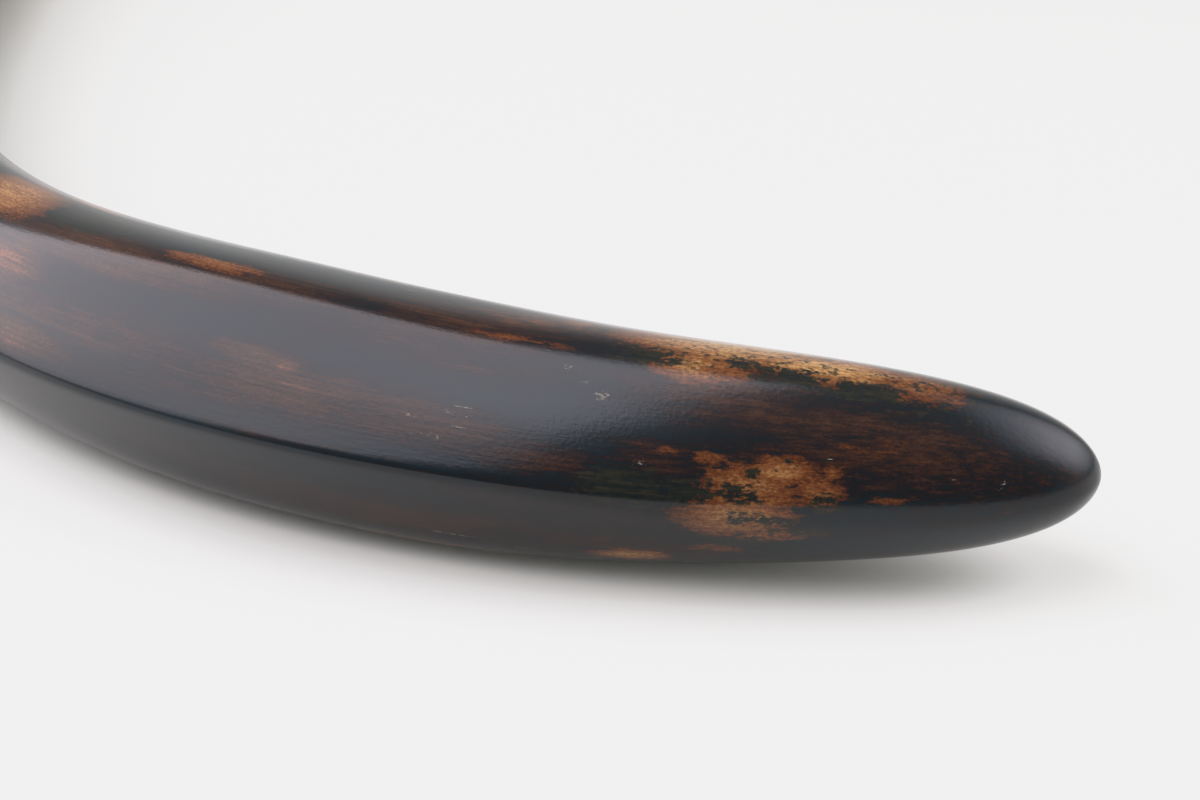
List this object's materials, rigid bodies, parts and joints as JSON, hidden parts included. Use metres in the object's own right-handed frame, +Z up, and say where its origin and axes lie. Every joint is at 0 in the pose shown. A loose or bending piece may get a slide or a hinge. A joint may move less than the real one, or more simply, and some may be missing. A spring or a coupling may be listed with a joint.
{
  "type": "mammoth tusk",
  "caption": "Curved, polished fossil-ivory tusk with a blunt rounded tip and a sawn, hollow root, lying on its side.",
  "frame": {"origin": "on the surface the tusk lies on, under the middle of its outline seen from above", "axes": "+Z up; +Y the outward normal of the sawn root face, along the tusk's longest extent; the blunt tip lies at the +X, -Y corner and points along +X"},
  "size_m": [0.4042, 0.502, 0.0655],
  "materials": {
    "polished_fossil_ivory": "polished"
  },
  "bodies": {
    "root": {"tusk": "polished_fossil_ivory"}
  },
  "joints": []
}
